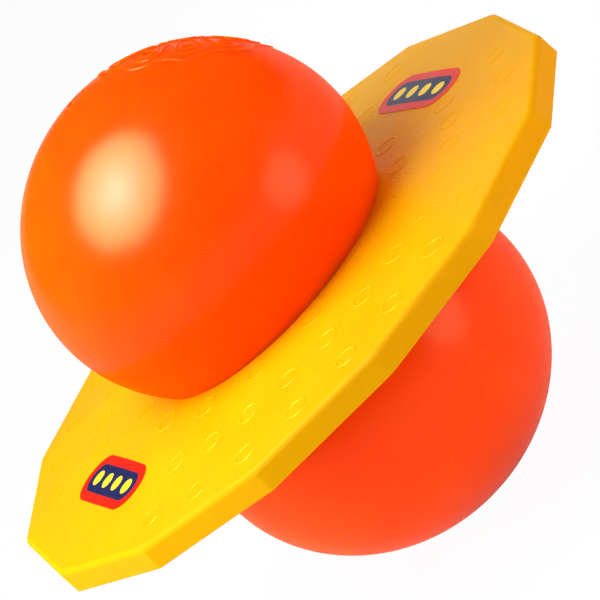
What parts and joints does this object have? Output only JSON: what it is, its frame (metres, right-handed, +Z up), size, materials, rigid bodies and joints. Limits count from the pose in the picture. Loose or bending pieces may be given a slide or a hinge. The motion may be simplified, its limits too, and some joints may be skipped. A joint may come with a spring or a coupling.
{
  "type": "pogo ball",
  "caption": "Bouncing toy: an inflated figure-eight ball held by its waist in the hole of a many-sided platform on which a child stands and jumps.",
  "frame": {"origin": "centre of the flat patch at the bottom of the lower lobe, on the ground", "axes": "+Z up along the ball's axis through the upper lobe, +X towards one corner of the platform"},
  "size_m": [0.4708, 0.46, 0.3741],
  "materials": {
    "ball_pvc": "satin moulded soft PVC, orange-red",
    "deck_plastic": "moulded polypropylene with a fine leather grain, yellow",
    "badge_print": "glossy printed film, red with dark blue and yellow"
  },
  "bodies": {
    "ground_ball": {"lower_lobe": "ball_pvc"},
    "grip_ball": {"upper_lobe": "ball_pvc"},
    "platform": {"platform_deck": "deck_plastic", "badge_a": "badge_print", "badge_b": "badge_print"},
    "plug": {"valve_plug": "ball_pvc"}
  },
  "joints": [
    {"name": "bounce", "type": "slide", "parent": "ground_ball", "child": "grip_ball", "axis": [0, 0, 1], "range_m": [-0.06, 0], "stiffness_N_per_m": 8000, "springref_m": 0.0025, "deforming": ["lower_lobe"]},
    {"name": "platform_turn", "type": "hinge", "parent": "grip_ball", "child": "platform", "pos_m": [0, 0, 0.183], "axis": [0, 0, 1], "continuous": true},
    {"name": "plug_pull", "type": "slide", "parent": "grip_ball", "child": "plug", "axis": [-0.0653, -0.113, 0.9914], "range_m": [0, 0.02]}
  ]
}
